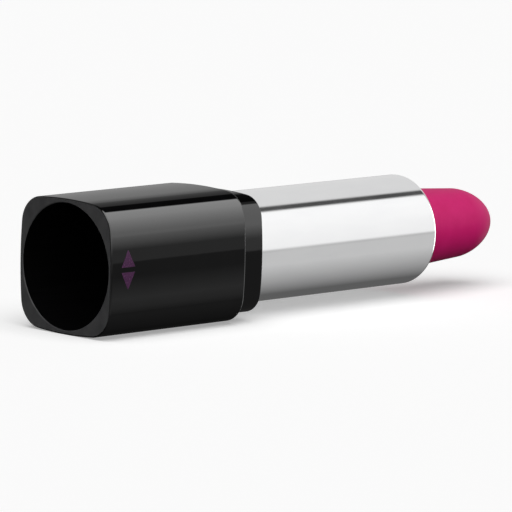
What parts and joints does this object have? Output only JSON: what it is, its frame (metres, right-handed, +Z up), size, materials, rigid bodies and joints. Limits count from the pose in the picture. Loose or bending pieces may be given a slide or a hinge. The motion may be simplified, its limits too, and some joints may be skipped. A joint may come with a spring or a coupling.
{
  "type": "twist-up lipstick case",
  "caption": "Twist-up lipstick with a square black base hollow at its end, a stepped collar, a polished round sleeve and a domed pink bullet wound out.",
  "frame": {"origin": "on the ground under the middle of the case, which lies on one flat of its square base", "axes": "+X along the case from the open end of the base to the tip of the bullet, +Z up, +Y to the left of someone looking along +X"},
  "size_m": [0.0838, 0.019, 0.019],
  "materials": {
    "base_lacquer": "gloss",
    "matt_black": "matte",
    "weight_steel": "satin",
    "collar_plastic": "gloss",
    "moulded_white": "satin",
    "silicone": "matte",
    "polished_sleeve": "polished",
    "bullet_wax": "satin"
  },
  "bodies": {
    "base": {"base_shell": "base_lacquer", "recess_floor": "matt_black", "base_weight": "weight_steel", "shoulder_collar": "collar_plastic", "slotted_tube": "moulded_white", "brake_ring": "silicone"},
    "sleeve": {"outer_sleeve": "polished_sleeve", "cam_sleeve": "moulded_white"},
    "carrier": {"carrier_cup": "moulded_white", "bullet": "bullet_wax"}
  },
  "joints": [
    {"name": "sleeve_twist", "type": "hinge", "parent": "base", "child": "sleeve", "pos_m": [0.0057, 0, 0.0095], "axis": [1, 0, 0], "range_deg": [-510, 45]},
    {"name": "bullet_travel", "type": "slide", "parent": "base", "child": "carrier", "axis": [1, 0, 0], "range_m": [-0.0204, 0.0018]}
  ],
  "couplings": [
    {"joint": "bullet_travel", "follows": "sleeve_twist", "m_per_rad": 0.0022918}
  ]
}
